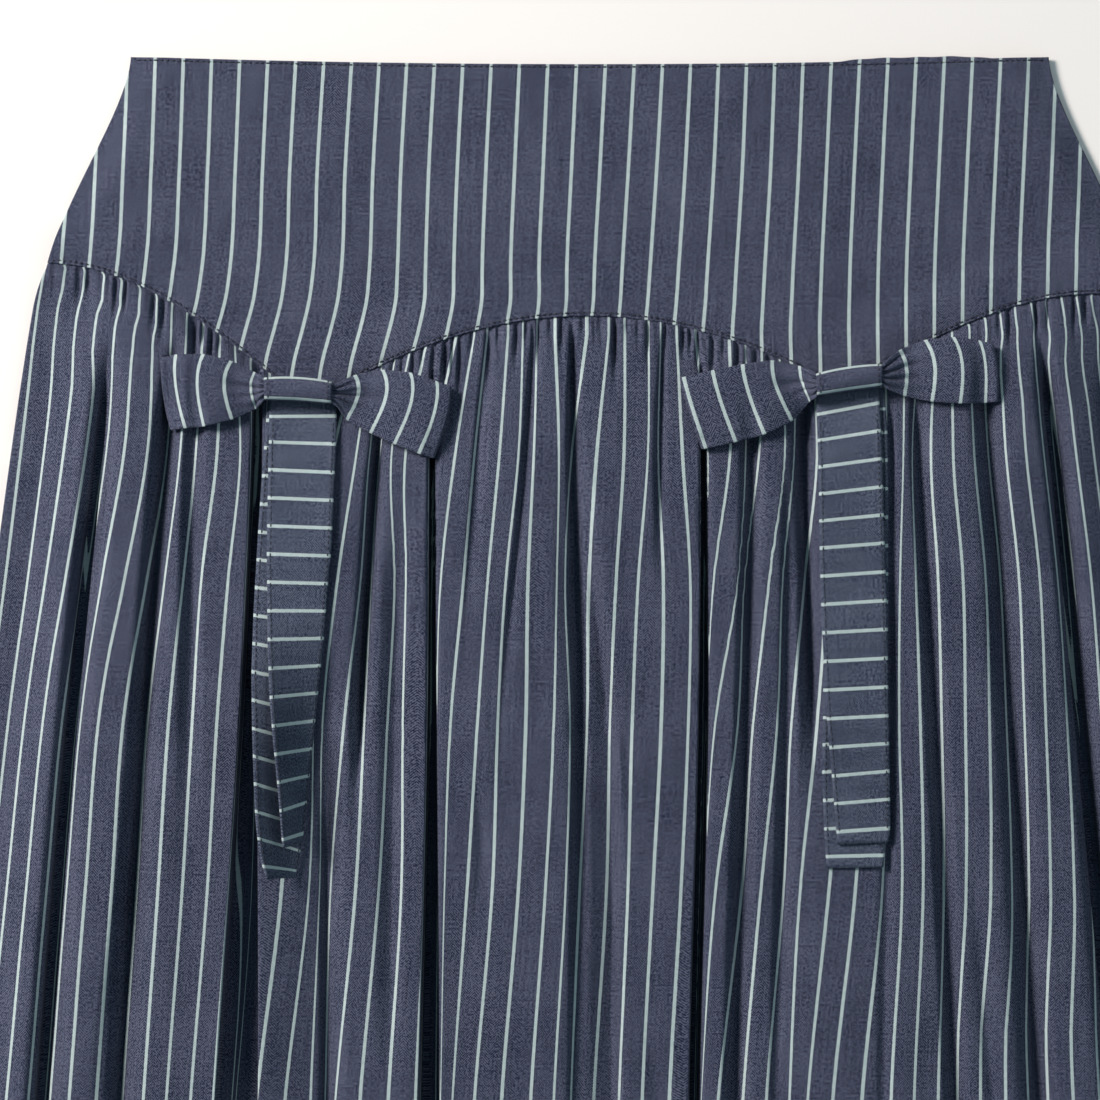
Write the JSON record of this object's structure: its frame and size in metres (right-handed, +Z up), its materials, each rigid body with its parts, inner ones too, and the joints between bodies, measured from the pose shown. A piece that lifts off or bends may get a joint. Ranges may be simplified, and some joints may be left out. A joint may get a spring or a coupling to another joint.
{
  "type": "gathered skirt",
  "caption": "Gathered pinstripe skirt laid flat, with a scalloped yoke and a tied bow at each low point of its edge.",
  "frame": {"origin": "middle of the bounding box in x and y, at the surface that the skirt lies on", "axes": "+Y towards the waist, +X towards the right-hand side of the front as seen, +Z up out of the front"},
  "size_m": [0.589, 0.7603, 0.0235],
  "materials": {
    "yoke_front": "matte woven cotton with pale pinstripes",
    "yoke_back": "matte woven cotton with pale pinstripes",
    "waist_facing": "matte woven cotton with pale pinstripes",
    "skirt_front": "matte woven cotton with pale pinstripes",
    "skirt_back": "matte woven cotton with pale pinstripes",
    "bow_left_knot": "matte woven cotton with pale pinstripes",
    "bow_left_wing_inner": "matte woven cotton with pale pinstripes",
    "bow_left_wing_outer": "matte woven cotton with pale pinstripes",
    "bow_left_tail_front": "matte woven cotton with pale pinstripes",
    "bow_left_tail_back": "matte woven cotton with pale pinstripes",
    "bow_right_knot": "matte woven cotton with pale pinstripes",
    "bow_right_wing_inner": "matte woven cotton with pale pinstripes",
    "bow_right_wing_outer": "matte woven cotton with pale pinstripes",
    "bow_right_tail_front": "matte woven cotton with pale pinstripes",
    "bow_right_tail_back": "matte woven cotton with pale pinstripes"
  },
  "bodies": {
    "root": {"yoke_front": "yoke_front", "yoke_back": "yoke_back", "waist_facing": "waist_facing", "skirt_front": "skirt_front", "skirt_back": "skirt_back", "bow_left_knot": "bow_left_knot", "bow_left_wing_inner": "bow_left_wing_inner", "bow_left_wing_outer": "bow_left_wing_outer", "bow_left_tail_front": "bow_left_tail_front", "bow_left_tail_back": "bow_left_tail_back", "bow_right_knot": "bow_right_knot", "bow_right_wing_inner": "bow_right_wing_inner", "bow_right_wing_outer": "bow_right_wing_outer", "bow_right_tail_front": "bow_right_tail_front", "bow_right_tail_back": "bow_right_tail_back"}
  },
  "joints": []
}
